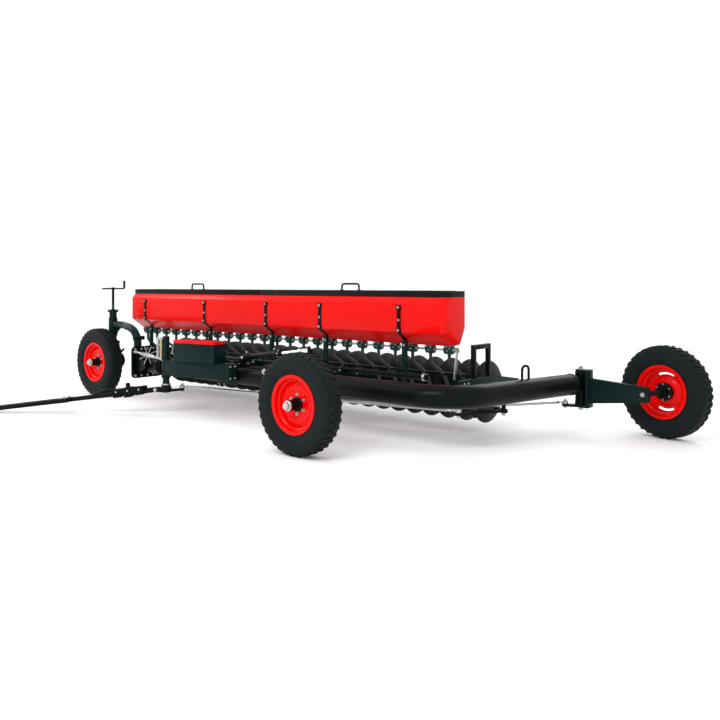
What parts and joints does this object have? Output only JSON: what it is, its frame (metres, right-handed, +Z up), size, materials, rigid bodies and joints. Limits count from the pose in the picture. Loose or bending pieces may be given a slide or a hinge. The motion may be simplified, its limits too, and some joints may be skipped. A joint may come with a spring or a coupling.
{
  "type": "towed one-way disc seed drill",
  "caption": "Towed disc seed drill with a long red seed hopper over a row of concave discs, carried on three implement wheels with a swinging tow bar.",
  "frame": {"origin": "on the ground under the middle of the machine's box", "axes": "+X along the hopper towards the steered rear wheel, +Y from the hitch side to the disc side, +Z up"},
  "size_m": [8.0108, 4.0912, 1.615],
  "materials": {
    "body_red": "gloss red enamel",
    "rim_red": "gloss red enamel",
    "frame_black": "satin black enamel",
    "frame_green": "satin dark green enamel",
    "meter_green": "satin green enamel",
    "lid_black": "satin black enamel",
    "disc": "black dipped steel",
    "zinc": "bright zinc plate",
    "chrome": "hard chrome",
    "hose": "ribbed black hose",
    "tyre": "agricultural lug tyre"
  },
  "bodies": {
    "frame": {"main_tube": "frame_black", "left_end_plate": "frame_black", "gooseneck": "frame_green", "front_column": "frame_green", "jack_crank": "zinc", "hitch_beam": "frame_green", "beam_clamp": "frame_black", "hitch_post": "frame_green", "toolbox": "frame_green", "turnbuckle": "zinc", "hopper": "body_red", "hopper_stand": "frame_green", "metering_row": "meter_green", "seed_tube_row": "hose", "scraper_bar": "frame_black", "rock_shaft": "frame_black", "lift_bracket": "frame_black", "lift_clevis": "frame_black", "rear_pivot": "frame_green", "crank_bracket": "frame_green", "tube_eye": "frame_black", "end_gantry": "frame_green", "hanger_1": "frame_green", "hanger_2": "frame_green", "hanger_3": "frame_green", "hanger_4": "frame_green", "hanger_5": "frame_green"},
    "left_lid": {"lid_left": "lid_black", "lid_handle_left": "lid_black"},
    "right_lid": {"lid_right": "lid_black", "lid_handle_right": "lid_black"},
    "tool_lid": {"toolbox_lid": "frame_green"},
    "front_mount": {"front_leg": "frame_green"},
    "front_wheel": {"front_tyre": "tyre", "front_rim": "rim_red"},
    "land_lift": {"land_arm": "frame_black"},
    "land_wheel": {"land_tyre": "tyre", "land_rim": "rim_red"},
    "cylinder": {"lift_barrel": "frame_black"},
    "piston_rod": {"lift_rod": "chrome"},
    "rear_mount": {"rear_arm": "frame_green"},
    "rear_wheel": {"rear_tyre": "tyre", "rear_rim": "rim_red"},
    "steer_link": {"steering_rod": "zinc"},
    "steer_crank": {"steering_crank": "frame_black"},
    "tie_link": {"tie_rod": "zinc"},
    "tow_head": {"tow_clevis": "frame_black"},
    "tow_pole": {"tow_bar": "frame_black"},
    "gang_1": {"disc_gang_1": "disc"},
    "gang_2": {"disc_gang_2": "disc"},
    "gang_3": {"disc_gang_3": "disc"},
    "gang_4": {"disc_gang_4": "disc"}
  },
  "joints": [
    {"name": "left_lid_hinge", "type": "hinge", "parent": "frame", "child": "left_lid", "pos_m": [-2.06924, 0.55515, 1.43], "axis": [-1, 0, 0], "range_deg": [0, 100]},
    {"name": "right_lid_hinge", "type": "hinge", "parent": "frame", "child": "right_lid", "pos_m": [0.64876, 0.55515, 1.43], "axis": [-1, 0, 0], "range_deg": [0, 100]},
    {"name": "toolbox_lid_hinge", "type": "hinge", "parent": "frame", "child": "tool_lid", "pos_m": [-0.95233, -0.44279, 0.8756], "axis": [-0.9878, -0.1557, 0], "range_deg": [0, 100]},
    {"name": "gang_1_spin", "type": "hinge", "parent": "frame", "child": "gang_1", "pos_m": [-2.63264, 0.99515, 0.42], "axis": [1, 0, 0], "continuous": true},
    {"name": "gang_2_spin", "type": "hinge", "parent": "frame", "child": "gang_2", "pos_m": [-1.26104, 0.99515, 0.42], "axis": [1, 0, 0], "continuous": true},
    {"name": "gang_3_spin", "type": "hinge", "parent": "frame", "child": "gang_3", "pos_m": [0.11056, 0.99515, 0.42], "axis": [1, 0, 0], "continuous": true},
    {"name": "gang_4_spin", "type": "hinge", "parent": "frame", "child": "gang_4", "pos_m": [1.48216, 0.99515, 0.42], "axis": [1, 0, 0], "continuous": true},
    {"name": "front_swivel", "type": "hinge", "parent": "frame", "child": "front_mount", "pos_m": [-3.53544, -0.06985, 0.66], "axis": [0, 0, 1], "range_deg": [-90, 15]},
    {"name": "front_wheel_spin", "type": "hinge", "parent": "front_mount", "child": "front_wheel", "pos_m": [-3.53544, -0.28485, 0.47], "axis": [0, 1, 0], "continuous": true},
    {"name": "tow_yaw", "type": "hinge", "parent": "frame", "child": "tow_head", "pos_m": [-1.46524, -0.62485, 0.3], "axis": [0, 0, 1], "range_deg": [-25, 25]},
    {"name": "tow_pitch", "type": "hinge", "parent": "tow_head", "child": "tow_pole", "pos_m": [-1.56232, -0.69538, 0.3], "axis": [0.5878, -0.809, 0], "range_deg": [0, 20]},
    {"name": "steering_rod_slide", "type": "slide", "parent": "frame", "child": "steer_link", "axis": [0.9812, 0.1929, 0], "range_m": [-0.09, 0.09]},
    {"name": "steering_crank_pivot", "type": "hinge", "parent": "frame", "child": "steer_crank", "pos_m": [2.31496, 0.74515, 0.2857], "axis": [0, 0, 1], "range_deg": [-12, 12]},
    {"name": "tie_rod_pivot", "type": "hinge", "parent": "steer_crank", "child": "tie_link", "pos_m": [2.19496, 0.81515, 0.3163], "axis": [0, 0, 1], "range_deg": [-16, 16]},
    {"name": "rear_swivel", "type": "hinge", "parent": "frame", "child": "rear_mount", "pos_m": [2.7756, 1.54515, 0.47], "axis": [0, 0, 1], "range_deg": [-20, 20]},
    {"name": "rear_wheel_spin", "type": "hinge", "parent": "rear_mount", "child": "rear_wheel", "pos_m": [3.54196, 1.85015, 0.47], "axis": [0.2419, 0.9703, 0], "continuous": true},
    {"name": "land_lift_pivot", "type": "hinge", "parent": "frame", "child": "land_lift", "pos_m": [0.62476, -1.11685, 0.7], "axis": [0, -1, 0], "range_deg": [0, 20]},
    {"name": "land_wheel_spin", "type": "hinge", "parent": "land_lift", "child": "land_wheel", "pos_m": [1.26476, -1.11685, 0.47], "axis": [0, 1, 0], "continuous": true},
    {"name": "lift_cylinder_pivot", "type": "hinge", "parent": "frame", "child": "cylinder", "pos_m": [-0.47524, -0.27485, 0.72], "axis": [0, -1, 0], "range_deg": [-3, 1]},
    {"name": "lift_rod_slide", "type": "slide", "parent": "cylinder", "child": "piston_rod", "axis": [0.9907, 0, 0.136], "range_m": [-0.08, 0.01]}
  ],
  "couplings": [
    {"joint": "steering_rod_slide", "follows": "tow_yaw", "m_per_rad": -0.188},
    {"joint": "steering_crank_pivot", "follows": "tow_yaw", "ratio": -0.441},
    {"joint": "tie_rod_pivot", "follows": "tow_yaw", "ratio": 0.566},
    {"joint": "rear_swivel", "follows": "tow_yaw", "ratio": -0.79},
    {"joint": "lift_cylinder_pivot", "follows": "land_lift_pivot", "ratio": -0.09},
    {"joint": "lift_rod_slide", "follows": "land_lift_pivot", "m_per_rad": -0.158}
  ]
}
